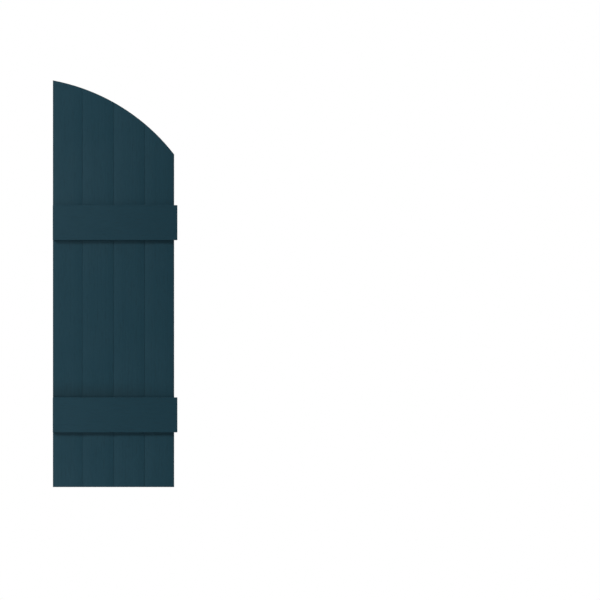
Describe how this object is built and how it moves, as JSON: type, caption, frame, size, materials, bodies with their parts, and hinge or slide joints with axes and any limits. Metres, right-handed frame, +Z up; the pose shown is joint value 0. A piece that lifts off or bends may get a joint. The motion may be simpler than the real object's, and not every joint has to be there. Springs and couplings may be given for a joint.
{
  "type": "arched board and batten shutter",
  "caption": "Arch-top board and batten shutter of hollow moulded boards and battens in dark teal, for the left side of a round-top window, fixed flat to the wall.",
  "frame": {"origin": "On the wall plane at the back of the boards, midway across the boards and halfway up the tall edge", "axes": "+X along the wall from the tall edge to the short edge that stands beside the window, +Y into the wall, +Z up; the face of the shutter looks along -Y"},
  "size_m": [0.3556, 0.0275, 1.161],
  "materials": {
    "teal_vinyl": "satin",
    "screw_steel": "satin"
  },
  "bodies": {
    "root": {"outer_edge_board": "teal_vinyl", "outer_middle_board": "teal_vinyl", "inner_middle_board": "teal_vinyl", "inner_edge_board": "teal_vinyl", "upper_batten": "teal_vinyl", "lower_batten": "teal_vinyl"}
  },
  "joints": []
}
